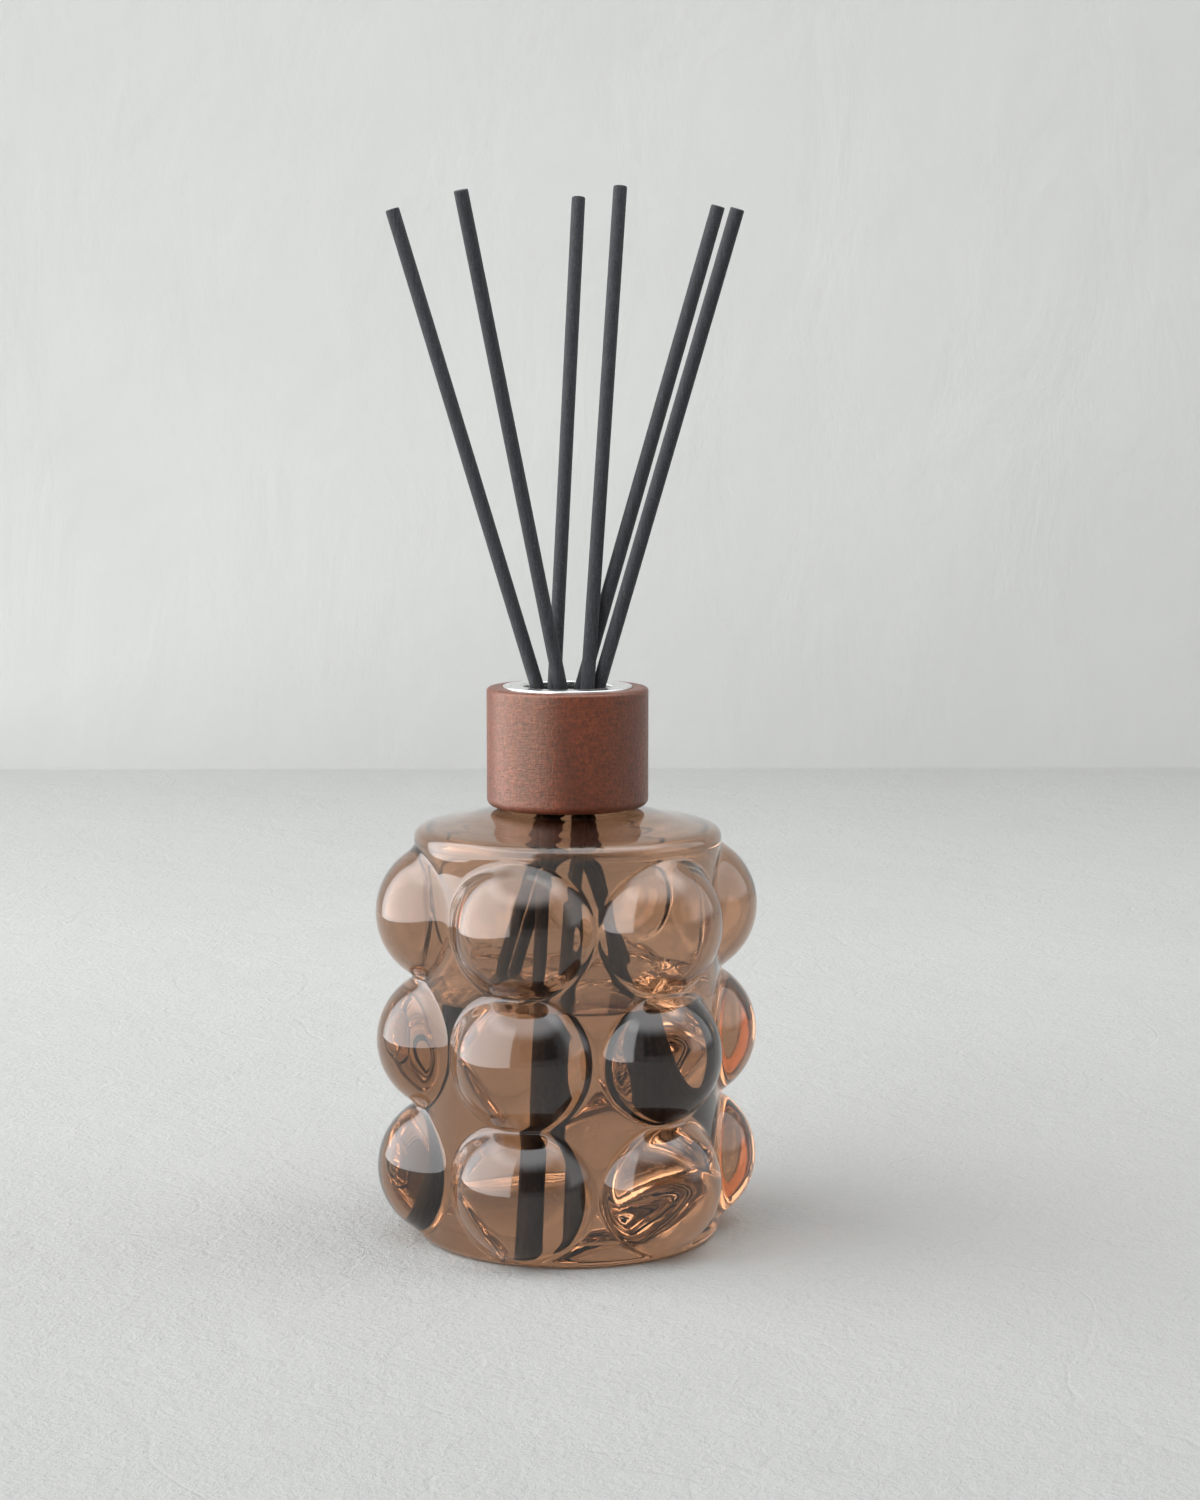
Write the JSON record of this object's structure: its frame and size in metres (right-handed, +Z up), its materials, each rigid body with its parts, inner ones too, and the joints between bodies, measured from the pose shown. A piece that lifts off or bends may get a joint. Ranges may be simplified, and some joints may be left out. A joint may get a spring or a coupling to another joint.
{
  "type": "reed diffuser",
  "caption": "Glass fragrance bottle covered in blown half-round bubbles, with a turned wood screw collar, metal mouth ring and slender dark reeds standing in the oil.",
  "frame": {"origin": "centre of the bottle's flat base, at the resting surface", "axes": "+Z up along the bottle's axis; -Y towards the front"},
  "size_m": [0.0902, 0.088, 0.247],
  "materials": {
    "clear_glass": "smoke-amber tint, gloss",
    "oil": "clear amber liquid",
    "stained_wood": "reddish-brown stain, satin lacquer",
    "ring_metal": "satin spun",
    "insert_plastic": "matte",
    "gasket_foam": "closed-cell foam, matte",
    "reed_fibre": "matte bonded fibre"
  },
  "bodies": {
    "bottle": {"glass_bottle": "clear_glass", "glass_neck": "clear_glass", "fragrance_oil": "oil"},
    "gasket": {"sealing_gasket": "gasket_foam"},
    "collar": {"wood_collar": "stained_wood", "cap_shell": "ring_metal", "threaded_insert": "insert_plastic"},
    "reed_1": {"reed_1": "reed_fibre"},
    "reed_2": {"reed_2": "reed_fibre"},
    "reed_3": {"reed_3": "reed_fibre"},
    "reed_4": {"reed_4": "reed_fibre"},
    "reed_5": {"reed_5": "reed_fibre"},
    "reed_6": {"reed_6": "reed_fibre"}
  },
  "joints": [
    {"name": "collar_lift", "type": "slide", "parent": "bottle", "child": "gasket", "axis": [0, 0, 1], "range_m": [0, 0.00317]},
    {"name": "collar_turn", "type": "hinge", "parent": "gasket", "child": "collar", "pos_m": [0, 0, 0.1297], "axis": [0, 0, 1], "range_deg": [0, 360]},
    {"name": "reed_1_slide", "type": "slide", "parent": "bottle", "child": "reed_1", "axis": [-0.2877, 0.0132, 0.9576], "range_m": [0, 0.14]},
    {"name": "reed_2_slide", "type": "slide", "parent": "bottle", "child": "reed_2", "axis": [-0.1894, -0.1449, 0.9712], "range_m": [0, 0.14]},
    {"name": "reed_3_slide", "type": "slide", "parent": "bottle", "child": "reed_3", "axis": [0.05, 0.2122, 0.9759], "range_m": [0, 0.14]},
    {"name": "reed_4_slide", "type": "slide", "parent": "bottle", "child": "reed_4", "axis": [0.0668, 0.1643, 0.9841], "range_m": [0, 0.14]},
    {"name": "reed_5_slide", "type": "slide", "parent": "bottle", "child": "reed_5", "axis": [0.2732, 0.0079, 0.9619], "range_m": [0, 0.14]},
    {"name": "reed_6_slide", "type": "slide", "parent": "bottle", "child": "reed_6", "axis": [0.2723, -0.1097, 0.9559], "range_m": [0, 0.14]}
  ],
  "couplings": [
    {"joint": "collar_lift", "follows": "collar_turn", "m_per_rad": 0.00050532}
  ]
}
